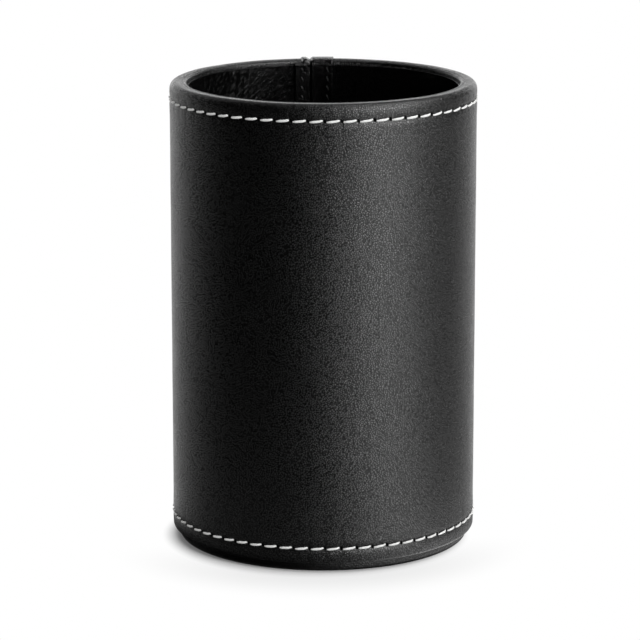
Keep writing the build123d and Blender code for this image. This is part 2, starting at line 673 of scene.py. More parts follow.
@dataclass(frozen=True)
class LeatherFinish:
    """Fine-grained black leather, or a facing that looks like it.

    Attributes:
        name: Name of the material.
        colour: Colour of the grain's tops.
        crease_shade_colour: Painted shade in the creases, darker than the grain's tops.
        roughness: Roughness of the grain's tops.
        crease_roughness: How much rougher the creases are.
        patch_roughness: How much rougher the patches with more wrinkles are.
        specular: Specular level of the finish coat.
        crease_gloss: Share of that level that the creases keep.
        grain: Size of the grain in millimetres.
        grain_edge: Share of the grain's size that its edges slope over.
        grain_depth: Depth of the creases, in metres.
        grain_warp: How far the grain is pushed out of shape, in millimetres.
        grain_warp_size: Size of that push in millimetres.
        wrinkle: Size of the wider wrinkles in millimetres.
        wrinkle_edge: Share of that size that their edges slope over.
        wrinkle_depth: Depth of the wider wrinkles, in metres.
        wrinkle_warp: How far they are pushed out of shape, in millimetres.
        wrinkle_warp_size: Size of that push in millimetres.
        patch: Size of those patches in millimetres.
        patch_detail: Number of finer layers in the patches.
        patch_edge: Values of their noise between which a patch begins.
        pore: Size of the pores in millimetres.
        pore_share: Height of the pores as a share of the grain's.
    """

    name: str
    colour: Colour = grey(0.0068)
    crease_shade_colour: Colour = grey(0.0005)
    roughness: float = 0.19
    crease_roughness: float = 0.1
    patch_roughness: float = 0.05
    specular: float = 0.25
    crease_gloss: float = 0.45
    grain: float = 0.56
    grain_edge: float = 0.3
    grain_depth: float = 0.04 * MM
    grain_warp: float = 0.15
    grain_warp_size: float = 1.2
    wrinkle: float = 1.7
    wrinkle_edge: float = 0.2
    wrinkle_depth: float = 0.03 * MM
    wrinkle_warp: float = 1.0
    wrinkle_warp_size: float = 2.5
    patch: float = 9.0
    patch_detail: float = 3.0
    patch_edge: Span = Span(0.3, 0.7)
    pore: float = 0.3
    pore_share: float = 0.15

    def material(
        self,
        rows: Sequence[StitchLine] = (),
        reliefs: Sequence[Gathers | DrawnCreases] = (),
        holes: NeedleHoles = NeedleHoles(),
    ) -> bpy.types.Material:
        """Makes the material.

        Args:
            rows: Stitch rows whose needle holes pierce the leather.
            reliefs: Gathers or creases on top of the grain.
            holes: Size of the needle holes.

        Returns:
            The material.
        """
        shader = Shader.of_material(self.name)
        place = shader.place()
        grown = shader.warped(place.vector, self.grain_warp_size, self.grain_warp)
        pebbles = shader.ease(shader.cells(grown, self.grain), 0.0, self.grain_edge)
        creased = shader.warped(place.vector, self.wrinkle_warp_size, self.wrinkle_warp)
        folds = shader.ease(shader.cells(creased, self.wrinkle), 0.0, self.wrinkle_edge)
        patches = shader.ease(shader.noise(place.vector, self.patch, self.patch_detail), *self.patch_edge)
        pores = shader.noise(place.vector, self.pore)
        folds = shader.math("MULTIPLY_ADD", shader.math("SUBTRACT", folds, 1.0), patches, 1.0)
        fine = shader.math("MULTIPLY_ADD", pores, self.pore_share, pebbles)
        normal = shader.bump(folds, self.wrinkle_depth)
        normal = shader.bump(fine, self.grain_depth, normal)
        for relief in reliefs:
            normal = shader.bump(relief.height(shader, place), relief.depth, normal)
        most = self.roughness + self.crease_roughness
        rough = shader.math("MULTIPLY_ADD", pebbles, -self.crease_roughness, most)
        rough = shader.math("MULTIPLY_ADD", patches, self.patch_roughness, rough)
        # Painted shade: the creases between the grain's tops are coloured darker than the tops.
        colour = shader.tint(pebbles, self.crease_shade_colour, self.colour)
        gloss = self.specular * self.crease_gloss
        gloss = shader.math("MULTIPLY_ADD", pebbles, self.specular - gloss, gloss)
        for row in rows:
            pierced = holes.mask(shader, place, row)
            gloss = shader.math("MULTIPLY", gloss, shader.math("SUBTRACT", 1.0, pierced))
            normal = shader.bump(shader.math("SUBTRACT", 1.0, pierced), holes.depth, normal)
            # Painted shade: the needle holes are coloured near black, and their gloss is taken away.
            colour = shader.tint(pierced, colour, holes.colour)
            rough = shader.math("MAXIMUM", rough, pierced)
        shader.set(Base_Color=colour, Roughness=rough, Specular_IOR_Level=gloss, Normal=normal)
        return shader.owner


@dataclass(frozen=True)
class ThreadFinish:
    """Twisted, waxed sewing thread. Its UV map runs along the stitch and once round the thread.

    Attributes:
        name: Name of the material.
        colour: Colour of the plies.
        ply_groove_shade: Painted shade between them, darker than the plies.
        roughness: Roughness of the wax.
        specular: Its specular level.
        plies: Number of plies.
        turns: Turns of the thread in one unit of its UV map.
        ply_edge: Values of the plies' wave between which they rise.
        ply_depth: Depth of the grooves between the plies, in metres.
        fibre: Size of the fibres in millimetres.
        fibre_detail: Number of finer layers in the fibres.
        fibre_depth: Their depth, in metres.
        fibre_roughness: How much rougher they make the wax.
    """

    name: str
    colour: Colour
    ply_groove_shade: Colour
    roughness: float = 0.55
    specular: float = 0.15
    plies: int = 3
    turns: float = 2.2
    ply_edge: Span = Span(-1.0, 0.2)
    ply_depth: float = 0.05 * MM
    fibre: float = 0.12
    fibre_detail: float = 3.0
    fibre_depth: float = 0.012 * MM
    fibre_roughness: float = 0.2

    def material(self) -> bpy.types.Material:
        """Makes the material.

        Returns:
            The material.
        """
        shader = Shader.of_material(self.name)
        along, around, _ = shader.axes(self._uv(shader))
        lay = shader.math("MULTIPLY_ADD", along, self.turns, around)
        wave = shader.math("SINE", shader.math("MULTIPLY", lay, FULL_TURN * self.plies))
        plies = shader.ease(wave, *self.ply_edge)
        fibres = shader.noise(shader.place().vector, self.fibre, self.fibre_detail)
        # Painted shade: the grooves between the plies are coloured darker than the plies.
        colour = shader.tint(plies, self.ply_groove_shade, self.colour)
        normal = shader.bump(plies, self.ply_depth)
        normal = shader.bump(fibres, self.fibre_depth, normal)
        rough = shader.math("MULTIPLY_ADD", fibres, self.fibre_roughness, self.roughness)
        shader.set(Base_Color=colour, Roughness=rough, Normal=normal, Specular_IOR_Level=self.specular)
        return shader.owner

    @staticmethod
    def _uv(shader: Shader) -> Socket:
        """The thread's own UV map."""
        return shader.node("ShaderNodeUVMap", uv_map=ThreadStitch.UV_NAME).outputs[0]


@dataclass(frozen=True)
class BoardFinish:
    """Pressed board, with a fleck of fibres and a slight tooth.

    Attributes:
        name: Name of the material.
        colour: Colour of the board.
        fleck_colour: Colour of the flecks.
        roughness: Roughness, on the whole.
        specular: Specular level.
        fleck: Size of the flecks in millimetres.
        fleck_detail: Number of finer layers in the flecks.
        fleck_roughness: Share of its height that each finer layer has.
        fleck_edge: Values of their noise between which a fleck begins.
        tooth: Size of the tooth in millimetres.
        tooth_detail: Number of finer layers in the tooth.
        tooth_depth: Its depth, in metres.
        tooth_roughness: How much the roughness changes over the tooth.
    """

    name: str
    colour: Colour
    fleck_colour: Colour
    roughness: float
    specular: float
    fleck: float = 0.9
    fleck_detail: float = 4.0
    fleck_roughness: float = 0.65
    fleck_edge: Span = Span(0.35, 0.7)
    tooth: float = 0.35
    tooth_detail: float = 3.0
    tooth_depth: float = 0.02 * MM
    tooth_roughness: float = 0.2

    def material(self) -> bpy.types.Material:
        """Makes the material.

        Returns:
            The material.
        """
        shader = Shader.of_material(self.name)
        place = shader.place().vector
        flecks = shader.noise(place, self.fleck, self.fleck_detail, self.fleck_roughness)
        flecks = shader.ease(flecks, *self.fleck_edge)
        tooth = shader.noise(place, self.tooth, self.tooth_detail)
        colour = shader.tint(flecks, self.colour, self.fleck_colour)
        least = self.roughness - self.tooth_roughness / 2
        rough = shader.math("MULTIPLY_ADD", tooth, self.tooth_roughness, least)
        normal = shader.bump(tooth, self.tooth_depth)
        shader.set(Base_Color=colour, Roughness=rough, Specular_IOR_Level=self.specular, Normal=normal)
        return shader.owner


COVER_LEATHER = LeatherFinish("cover_leather")
LINING_LEATHER = LeatherFinish(
    "lining_leather", colour=grey(0.0029), roughness=0.15, crease_roughness=0.04, specular=0.1,
    grain_depth=0.008 * MM, wrinkle_depth=0.01 * MM,
)
# The cover's leather with its colour darkened, which paints shade on the seam folds, their flaps inside
# and their strips.
SHADED_FOLD_LEATHER = LeatherFinish(
    "fold_leather_painted_shade", colour=grey(0.001), roughness=0.15, crease_roughness=0.05, grain_depth=0.01 * MM,
)
BASE_BOARD = LeatherFinish("base_board", colour=grey(0.001), roughness=0.28, specular=0.2)
WHITE_THREAD = ThreadFinish(
    "white_thread", colour=(0.92, 0.92, 0.91), ply_groove_shade=(0.72, 0.72, 0.71),
)
BLACK_THREAD = ThreadFinish(
    "black_thread", colour=grey(0.004), ply_groove_shade=grey(0.001), roughness=0.35,
)
CORE_BOARD = BoardFinish(
    "core_board", colour=(0.3, 0.22, 0.14), fleck_colour=(0.2, 0.14, 0.09), roughness=0.85, specular=0.2,
)


def outline(bm: BMesh, corners: Sequence[Corner]) -> list[BMVert]:
    """Lays a closed outline of radius and height in the XZ plane.

    Args:
        bm: The mesh being made.
        corners: Radius and height of each corner, in order.

    Returns:
        The corners' vertices.
    """
    made = [bm.verts.new((radius, 0, height)) for radius, height in corners]
    for first, second in zip(made, made[1:] + made[:1]):
        bm.edges.new((first, second))
    return made


def round_corner(bm: BMesh, corner: BMVert, radius: float, segments: int) -> None:
    """Rounds one corner of a flat outline."""
    bmesh.ops.bevel(
        bm, geom=[corner], offset=radius, offset_type="OFFSET", segments=segments, profile=0.5,
        affect="VERTICES", material=-1,
    )


def round_edges(bm: BMesh, edges: Sequence[BMEdge], radius: float, segments: int) -> None:
    """Rounds edges of a solid."""
    bmesh.ops.bevel(
        bm, geom=edges, offset=radius, offset_type="OFFSET", segments=segments, profile=0.5,
        affect="EDGES", material=-1,
    )


def caps(bm: BMesh) -> list[BMFace]:
    """The faces that close the ends of a shape, which have more corners than a quad."""
    return [face for face in bm.faces if len(face.verts) > QUAD_CORNERS]


def cut(bm: BMesh, edge: BMEdge, axis: Axis, places: Sequence[float]) -> None:
    """Cuts an edge of an outline at places along an axis.

    Args:
        bm: The mesh being made.
        edge: The edge to cut.
        axis: The axis that the edge runs along.
        places: Where to cut, along that axis.
    """
    along = Vector(axis.value)
    pieces = {edge}
    for place in places:
        geom = [*pieces, *{vert for piece in pieces for vert in piece.verts}]
        made = bmesh.ops.bisect_plane(bm, geom=geom, plane_co=along * place, plane_no=along)
        pieces = {item for item in made["geom"] if isinstance(item, BMEdge)}


def rotation(angle: float, axis: str = "Z") -> Matrix:
    """A turn about an axis through the origin."""
    return Matrix.Rotation(angle, 3, axis)


def spaced(low: float, high: float, step: float) -> list[float]:
    """Levels between two heights, about a step apart and without the ends."""
    count = max(round((high - low) / step), 1)
    return [low + (high - low) * number / count for number in range(1, count)]


def ring_from_seam(bm: BMesh, start: float, angle: float, steps: int, sectors: int = 1) -> None:
    """Turns the outline in a mesh clockwise round the cup and closes both ends of the ring.

    Args:
        bm: A mesh that holds one closed outline in the XZ plane.
        start: Clockwise angle from the seam to the first end.
        angle: Angle that the ring goes round.
        steps: Steps in that angle.
        sectors: Number of like sectors that a long ring is put together from.
    """
    bmesh.ops.rotate(bm, verts=bm.verts[:], cent=(0, 0, 0), matrix=rotation(math.pi / 2 - start))
    about = {"cent": (0, 0, 0), "axis": (0, 0, 1), "dvec": (0, 0, 0)}
    sector = angle / sectors
    bmesh.ops.spin(bm, geom=[*bm.verts, *bm.edges], angle=-sector, steps=steps // sectors, **about)
    if sectors > 1:
        whole = [*bm.verts, *bm.edges, *bm.faces]
        bmesh.ops.spin(
            bm, geom=whole, angle=sector - angle, steps=sectors - 1, use_duplicate=True, **about,
        )
        bmesh.ops.remove_doubles(bm, verts=bm.verts[:], dist=MERGE)
    bmesh.ops.edgeloop_fill(bm, edges=[edge for edge in bm.edges if edge.is_boundary])
    bmesh.ops.recalc_face_normals(bm, faces=bm.faces[:])


def disc(bm: BMesh, radius: float, low: float, high: float, steps: int) -> None:
    """Makes an upright disc about Z, from a low to a high level."""
    made = bmesh.ops.create_cone(
        bm, cap_ends=True, cap_tris=False, segments=steps, radius1=radius, radius2=radius,
        depth=high - low,
    )
    bmesh.ops.translate(bm, vec=(0, 0, (low + high) / 2), verts=made["verts"])


def round_rims(bm: BMesh, radius: float, segments: int) -> None:
    """Rounds the two rims of a disc and draws a ring inside each so that its face stays flat."""
    round_edges(bm, [edge for face in caps(bm) for edge in face.edges], radius, segments)
    bmesh.ops.inset_region(bm, faces=caps(bm), thickness=radius, depth=0, use_even_offset=True)


def as_object(name: str, bm: BMesh, material: bpy.types.Material) -> bpy.types.Object:
    """Turns a finished mesh into an object of the scene.

    Args:
        name: Name of the object.
        bm: The finished mesh, which is freed.
        material: Its finish.

    Returns:
        The object.
    """
    mesh = bpy.data.meshes.new(name)
    bm.to_mesh(mesh)
    bm.free()
    mesh.materials.append(material)
    made = bpy.data.objects.new(name, mesh)
    bpy.context.scene.collection.objects.link(made)
    return made


def as_piece(
    name: str, bm: BMesh, material: bpy.types.Material, slot: Slot, *nodes: str,
) -> bpy.types.Object:
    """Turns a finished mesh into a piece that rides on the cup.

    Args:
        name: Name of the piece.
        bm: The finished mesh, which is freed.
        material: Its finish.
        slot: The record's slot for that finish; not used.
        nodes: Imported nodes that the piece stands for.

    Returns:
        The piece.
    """
    bmesh.ops.recalc_face_normals(bm, faces=bm.faces[:])
    for face in bm.faces:
        face.smooth = True
    for edge in bm.edges:
        edge.smooth = not edge.is_manifold or edge.calc_face_angle() < SHARP_ANGLE
    piece = as_object(name, bm, material)
    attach(piece, BODY)
    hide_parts(*nodes)
    return piece


@dataclass
class LeatherCover:
    """The leather round the wall, over the rim as a hem and under the floor, up to the seam's slit.

    Attributes:
        cup: Sizes of the cup.
        hem: Thickness of the hem.
        hem_depth: How far the hem goes down inside.
        turn_under: How far the leather goes in under the floor, from the inside of the wall.
        foot_round: Round of the foot's edge.
        groove_depth: How far the thread pulls the wall in along a row.
        groove_width: Half width of that groove.
        hole_dip: How much further it does so at a needle hole.
        hole_width: Half width of that dip.
        puff: How far the leather swells beside a row, between the holes.
        puff_place: Distance of the swelling from the row.
        puff_width: Half width of the swelling.
        pull_zone: How far above and below a row the thread pulls.
        rim_crease: Depth of the crease along the rim.
        crease_place: Distance of the crease from the inside of the rim.
        crease_width: Half width of the crease.
        crease_zone: How far to each side of the crease the rim is cut finely.
        crease_step: Distance of those cuts.
        rim_step: Distance of the other cuts on the rim.
        rim_tilt: Slope of the rim down to the inside, in front.
        rim_wave: Height of the rim's waves.
        rim_wave_top: Value of their noise above which the rim is level.
        wall_wave: Height of the wall's waves.
        wave_size: Size of both kinds of waves.
        row_zone: How far above and below a row the wall is cut finely.
        row_step: Distance of those cuts.
        wall_step: Distance of the other cuts on the wall.
        steps: Steps round the cup.
        sectors: Number of like sectors that the ring is put together from.
        seam_zone: How far from the seam the steps are drawn together.
        foot_segments: Steps in the round of the foot's edge.
        rim_outer_segments: Steps in the rim's outer round.
        rim_inner_segments: Steps in the rim's inner round.
    """

    cup: Cup
    hem: float = 0.9 * MM
    hem_depth: float = 12 * MM
    turn_under: float = 10 * MM
    foot_round: float = 0.6 * MM
    groove_depth: float = 0.2 * MM
    groove_width: float = 0.85 * MM
    hole_dip: float = 0.1 * MM
    hole_width: float = 0.5 * MM
    puff: float = 0.07 * MM
    puff_place: float = 1.6 * MM
    puff_width: float = 0.8 * MM
    pull_zone: float = 4.2 * MM
    rim_crease: float = 0.16 * MM
    crease_place: float = 1.05 * MM
    crease_width: float = 0.13 * MM
    crease_zone: float = 0.3 * MM
    crease_step: float = 0.05 * MM
    rim_step: float = 0.15 * MM
    rim_tilt: float = math.tan(math.radians(2))
    rim_wave: float = 0.05 * MM
    rim_wave_top: float = 0.5
    wall_wave: float = 0.035 * MM
    wave_size: float = 11 * MM
    row_zone: float = 2.1 * MM
    row_step: float = 0.3 * MM
    wall_step: float = 3 * MM
    steps: int = 576
    sectors: int = 16
    seam_zone: float = 6 * MM
    foot_segments: int = 7
    rim_outer_segments: int = 12
    rim_inner_segments: int = 8

    @property
    def slit_angle(self) -> float:
        """Angle from the seam to the edge of its slit."""
        return self.cup.slit / 2 / self.cup.outer_radius

    def build(self, material: bpy.types.Material) -> bpy.types.Object:
        """Models the cover and dresses it.

        Args:
            material: Its finish.

        Returns:
            The piece.
        """
        bm = bmesh.new()
        self._outline(bm)
        start = self.slit_angle
        ring_from_seam(bm, start, FULL_TURN - 2 * start, self.steps, self.sectors)
        for vert in bm.verts:
            self._gather(vert)
            self._pull(vert)
        return as_piece("cover", bm, material, Slot.COVER, "outer_leather")

    def _outline(self, bm: BMesh) -> None:
        """Draws the cover's section, with cuts for the grooves along the stitches.

        Args:
            bm: The mesh being made.
        """
        cup = self.cup
        foot = cup.base_top
        under = cup.inner_radius - self.turn_under
        core_radius = cup.outer_radius - cup.leather
        hem_radius = cup.inner_radius + self.hem
        hem_level = cup.height - self.hem_depth
        corners = [
            (under, foot),
            (cup.outer_radius, foot),
            (cup.outer_radius, cup.height),
            (cup.inner_radius, cup.height),
            (cup.inner_radius, hem_level),
            (hem_radius, hem_level),
            (hem_radius, cup.height - cup.leather),
            (core_radius, cup.height - cup.leather),
            (core_radius, foot + cup.leather),
            (under, foot + cup.leather),
        ]
        _, foot_corner, outer_corner, inner_corner, hem_corner, *_ = outline(bm, corners)
        wall = bm.edges.get((foot_corner, outer_corner))
        rim = bm.edges.get((outer_corner, inner_corner))
        hem = bm.edges.get((inner_corner, hem_corner))
        levels = spaced(foot, cup.height, self.wall_step)
        for row in cup.rows:
            levels += spaced(row.level - self.row_zone, row.level + self.row_zone, self.row_step)
        low, high = foot + self.foot_round, cup.height - cup.rim_outer_round
        cut(bm, wall, Axis.HEIGHT, [level for level in levels if low < level < high])
        low, high = cup.inner_radius + cup.rim_inner_round, cup.outer_radius - cup.rim_outer_round
        middle = cup.inner_radius + self.crease_place
        crease = spaced(middle - self.crease_zone, middle + self.crease_zone, self.crease_step)
        cut(bm, rim, Axis.RADIUS, [*spaced(low, high, self.rim_step), *crease])
        low, high = cup.lining_high - self.row_zone, cup.height - cup.rim_inner_round
        cut(bm, hem, Axis.HEIGHT, spaced(low, high, self.row_step))
        round_corner(bm, foot_corner, self.foot_round, self.foot_segments)
        round_corner(bm, outer_corner, cup.rim_outer_round, self.rim_outer_segments)
        round_corner(bm, inner_corner, cup.rim_inner_round, self.rim_inner_segments)

    def _gather(self, vert: BMVert) -> None:
        """Draws the columns near the seam together, so that the fold there is round.

        Args:
            vert: The vertex to move.
        """
        angle = clockwise(vert.co)
        near = min(angle, FULL_TURN - angle)
        start = self.slit_angle
        zone = self.seam_zone / self.cup.outer_radius
        if start < near < zone:
            share = (near - start) / (zone - start)
            change = (share * share - share) * (zone - start)
            change = change if angle < math.pi else -change
            vert.co.rotate(rotation(-change))

    def _pull(self, vert: BMVert) -> None:
        """Moves one vertex as the thread, the folds and the hand-made rim do.

        Args:
            vert: The vertex to move.
        """
        cup = self.cup
        place = vert.co.copy()
        radius = place.xy.length
        if radius < cup.outer_radius - cup.rim_outer_round and place.z < cup.height - cup.leather:
            return
        angle = clockwise(place)
        out = Vector((place.x, place.y, 0)) / radius
        shift = -cup.fold_dip(place)
        if radius > cup.outer_radius - cup.leather / 2:
            shift += self.wall_wave * noise.noise(place / self.wave_size)
            shift += self._thread_pull(angle, place.z)
        vert.co += out * shift
        if place.z > cup.height - cup.leather / 2:
            from_crease = radius - cup.inner_radius - self.crease_place
            crease = self.rim_crease * bell(from_crease, self.crease_width)
            wave = noise.noise(out * cup.outer_radius / self.wave_size) - self.rim_wave_top
            wave *= self.rim_wave
            inner = max(cup.inner_radius + cup.tilt_place - radius, 0.0)
            inner *= smooth_step(cup.height - cup.rim_inner_round, cup.height, place.z)
            tilt = self.rim_tilt + (cup.seam_tilt - self.rim_tilt) * (1 + math.cos(angle)) / 2
            vert.co.z += min(wave, 0.0) - crease - tilt * inner

    def _thread_pull(self, angle: float, level: float) -> float:
        """How far the stitches pull the wall in, or let it swell beside them.

        Args:
            angle: Clockwise angle from the seam.
            level: Height on the wall.

        Returns:
            The move outwards, below zero where the leather is drawn in.
        """
        shift = 0.0
        for row in self.cup.rows:
            above = level - row.level
            if abs(above) > self.pull_zone:
                continue
            hole = bell(row.from_hole(angle), self.hole_width)
            shift -= self.groove_depth * bell(above, self.groove_width)
            shift -= self.hole_dip * hole * bell(above, self.hole_width)
            shift += self.puff * (1 - hole) * bell(abs(above) - self.puff_place, self.puff_width)
        return shift


@dataclass
class SeamFold:
    """One end of the cover: a web through the wall, a flap over the lining and a strip over the rim.

    Attributes:
        cup: Sizes of the cup.
        side: Side of the seam.
        flap_width: Width of the flap.
        hump_width: Width of the strip over the rim.
        slit_round: Round of the edge at the slit.
        end_round: Round of the other edge.
        drape: How far from the slit the strip starts to hang down towards it.
        drape_share: Share of the hump that it hangs down by.
        past_share: Depth that it sinks to past its width, as a share of the hump.
        floor_gap: Gap between the flap and the floor.
        back_sink: How far the flap's back sinks into the lining.
        step: Distance of the cuts across the flap.
        wall_step: Distance of the cuts along it.
        support_share: Distance from its top to the cut under the rim's round, as a share of that round.
        rim_inner_segments: Steps in the rim's inner round.
        rim_outer_segments: Steps in the rim's outer round.
        edge_segments: Steps in the round of the other edges.
        strip: Thickness of the strip on the outside of the wall.
        strip_drop: How far down from the rim it ends there.
        strip_inset: How far its face lies under the cover's.
        rim_strip: Thickness of the strip over the rim.
        shown_depth: How far down from its top the strip's edges show.
        web: Thickness of the web.
        web_drop: How far below the rim the web ends.
        web_round: Round of its edges.
    """

    cup: Cup
    side: Side
    flap_width: float
    hump_width: float
    slit_round: float
    end_round: float
    drape: float
    drape_share: float = 0.85
    past_share: float = 2.0
    floor_gap: float = 0.1 * MM
    back_sink: float = 0.1 * MM
    step: float = 0.3 * MM
    wall_step: float = 3 * MM
    support_share: float = 1.3
    rim_inner_segments: int = 7
    rim_outer_segments: int = 9
    edge_segments: int = 4
    strip: float = 0.6 * MM
    strip_drop: float = 3 * MM
    strip_inset: float = 0.06 * MM
    rim_strip: float = 1.2 * MM
    shown_depth: float = 0.9 * MM
    web: float = 1.3 * MM
    web_drop: float = 0.15 * MM
    web_round: float = 0.2 * MM

    def build(self, material: bpy.types.Material) -> bpy.types.Object:
        """Models the folded end and dresses it.

        Args:
            material: Its finish.

        Returns:
            The piece.
        """
        bm = bmesh.new()
        self._flap(bm)
        self._soften(bm)
        for vert in bm.verts:
            self._settle(vert)
        self._web(bm)
        return as_piece(f"{self.side.name.lower()}_seam_fold", bm, material, Slot.COVER, "outer_leather")

    @property
    def top(self) -> float:
        """Height of the strip over the rim."""
        return self.cup.height + self.cup.rim_hump

    def _flap(self, bm: BMesh) -> None:
        """Makes the flap and the strip that it becomes over the rim.

        Args:
            bm: The mesh being made.
        """
        cup = self.cup
        low = cup.floor_high + self.floor_gap
        end = cup.height - self.strip_drop
        under = self.top - self.rim_strip
        outer = cup.outer_radius - self.strip_inset
        back = cup.lining_radius + self.back_sink
        corners = [
            (cup.flap_radius, low),
            (cup.flap_radius, self.top),
            (outer, self.top),
            (outer, end),
            (outer - self.strip, end),
            (outer - self.strip, under),
            (back, under),
            (back, low),
        ]
        low_corner, inner_corner, outer_corner, *_ = outline(bm, corners)
        face_edge = bm.edges.get((low_corner, inner_corner))
        levels = spaced(low, cup.height - cup.leather, self.wall_step)
        cut(bm, face_edge, Axis.HEIGHT, [*levels, self.top - self.support_share * cup.rim_inner_round])
        round_corner(bm, inner_corner, cup.rim_inner_round, self.rim_inner_segments)
        round_corner(bm, outer_corner, cup.rim_outer_round, self.rim_outer_segments)
        angle = self.flap_width / cup.flap_radius
        slit = cup.slit / 2 / cup.flap_radius
        start = slit if self.side is Side.RIGHT else FULL_TURN - angle
        ring_from_seam(bm, start, angle - slit, round(self.flap_width / self.step))

    def _soften(self, bm: BMesh) -> None:
        """Rounds the edges of the flap and of the strip that show.

        Args:
            bm: The mesh being made.
        """
        ends = sorted(caps(bm), key=lambda face: self.cup.from_slit(face.calc_center_median()))
        shown = [[edge for edge in face.edges if all(map(self._shows, edge.verts))] for face in ends]
        for edges, radius in zip(shown, (self.slit_round, self.end_round)):
            round_edges(bm, edges, radius, self.edge_segments)

    def _shows(self, vert: BMVert) -> bool:
        """Whether a vertex of an end is on the flap's face or on top of the strip."""
        return vert.co.xy.length < self.cup.flap_radius + MERGE or vert.co.z > self.top - self.shown_depth

    def _settle(self, vert: BMVert) -> None:
        """Lets the strip follow the cover's fold, hang down at its edges and sink in past its width.

        Args:
            vert: The vertex to move.
        """
        cup = self.cup
        place = vert.co.copy()
        vert.co -= Vector((place.x, place.y, 0)).normalized() * cup.fold_dip(place)
        high = smooth_step(cup.height - cup.leather, cup.height, place.z)
        near = 1 - smooth_step(0.0, self.drape, cup.from_slit(place))
        drop = self.drape_share * cup.rim_hump * near
        drop += cup.seam_tilt * max(cup.inner_radius + cup.tilt_place - place.xy.length, 0.0)
        if self.hump_width < self.flap_width:
            past = smooth_step(-self.step, self.step, cup.from_slit(place) - self.hump_width)
            drop += self.past_share * cup.rim_hump * past
        vert.co.z -= high * drop

    def _web(self, bm: BMesh) -> None:
        """Makes the web that runs through the slot in the wall.

        Args:
            bm: The mesh being made.
        """
        cup = self.cup
        inner = cup.lining_radius
        outer = cup.outer_radius - cup.fold_round
        low = cup.base_top + cup.leather / 2
        high = cup.height - self.web_drop
        size = Vector((self.web, outer - inner, high - low))
        middle = Vector((self.web * self.side.value, inner + outer, low + high)) / 2
        made = bmesh.ops.create_cube(bm, size=1.0)
        bmesh.ops.scale(bm, vec=size, verts=made["verts"])
        bmesh.ops.translate(bm, vec=middle, verts=made["verts"])
        edges = {edge for vert in made["verts"] for edge in vert.link_edges}
        round_edges(bm, list(edges), self.web_round, self.edge_segments)


@dataclass
class Lining:
    """The thin leather inside the cup: the wall up to the hem, and the floor.

    Attributes:
        cup: Sizes of the cup.
        slot_half_width: Half the width of the gap that the seam's webs come through.
        calm: Distance from the slit beyond which the lining is fully uneven.
        ease: How far it stands off the wall at most.
        ease_size: Size of that unevenness.
        steps: Steps round the cup.
        sectors: Number of like sectors that the ring is put together from.
        wall_step: Distance of the cuts along the wall.
        edge_round: Round of its edges.
        edge_segments: Steps in the round of the wall's upper edge.
        support_share: Distance from that edge to the cut under its round, as a share of the round.
        floor_steps: Steps round the floor.
        floor_segments: Steps in the round of the floor's edges.
    """

    cup: Cup
    slot_half_width: float = 1.35 * MM
    calm: float = 12 * MM
    ease: float = 0.09 * MM
    ease_size: float = 9 * MM
    steps: int = 320
    sectors: int = 10
    wall_step: float = 2.5 * MM
    edge_round: float = 0.12 * MM
    edge_segments: int = 3
    support_share: float = 1.5
    floor_steps: int = 160
    floor_segments: int = 2

    def build(self, material: bpy.types.Material) -> tuple[bpy.types.Object, bpy.types.Object]:
        """Models the wall's and the floor's lining and dresses them."""
        return self._wall(material), self._floor(material)

    def _wall(self, material: bpy.types.Material) -> bpy.types.Object:
        """Makes the lining of the wall, which is not quite smooth.

        Args:
            material: Its finish.

        Returns:
            The piece.
        """
        cup = self.cup
        bm = bmesh.new()
        corners = [
            (cup.inner_radius, cup.lining_low),
            (cup.inner_radius, cup.lining_high),
            (cup.lining_radius, cup.lining_high),
            (cup.lining_radius, cup.lining_low),
        ]
        *_, top_corner, low_corner = outline(bm, corners)
        face_edge = bm.edges.get((top_corner, low_corner))
        levels = spaced(cup.lining_low, cup.lining_high, self.wall_step)
        cut(bm, face_edge, Axis.HEIGHT, [*levels, cup.lining_high - self.support_share * self.edge_round])
        round_corner(bm, top_corner, self.edge_round, self.edge_segments)
        start = self.slot_half_width / cup.inner_radius
        ring_from_seam(bm, start, FULL_TURN - 2 * start, self.steps, self.sectors)
        for vert in bm.verts:
            radius = vert.co.xy.length
            if radius < cup.inner_radius - cup.lining / 2:
                swell = 0.5 + 0.5 * noise.noise(vert.co / self.ease_size)
                swell *= smooth_step(self.calm / 2, self.calm, cup.from_slit(vert.co))
                vert.co -= Vector((vert.co.x, vert.co.y, 0)) / radius * self.ease * swell
        return as_piece("wall_lining", bm, material, Slot.LINING, "lining_wall")

    def _floor(self, material: bpy.types.Material) -> bpy.types.Object:
        """Makes the disc of lining on the floor.

        Args:
            material: Its finish.

        Returns:
            The piece.
        """
        cup = self.cup
        bm = bmesh.new()
        disc(bm, cup.lining_radius - self.edge_round, cup.floor_low, cup.floor_high, self.floor_steps)
        round_rims(bm, self.edge_round, self.floor_segments)
        return as_piece("floor_lining", bm, material, Slot.LINING, "lining_floor")


@dataclass
class BaseDisc:
    """The disc under the cup, set in from the leather.

    Attributes:
        cup: Sizes of the cup.
        edge_round: Round of its edges.
        edge_segments: Steps in that round.
        steps: Steps round the disc.
    """

    cup: Cup
    edge_round: float = 0.5 * MM
    edge_segments: int = 4
    steps: int = 240

    def build(self, material: bpy.types.Material) -> bpy.types.Object:
        """Models the disc and dresses it.

        Args:
            material: Its finish.

        Returns:
            The piece.
        """
        bm = bmesh.new()
        disc(bm, self.cup.base_radius, 0.0, self.cup.base_top, self.steps)
        round_rims(bm, self.edge_round, self.edge_segments)
        return as_piece("base", bm, material, Slot.BASE, "base_disc")


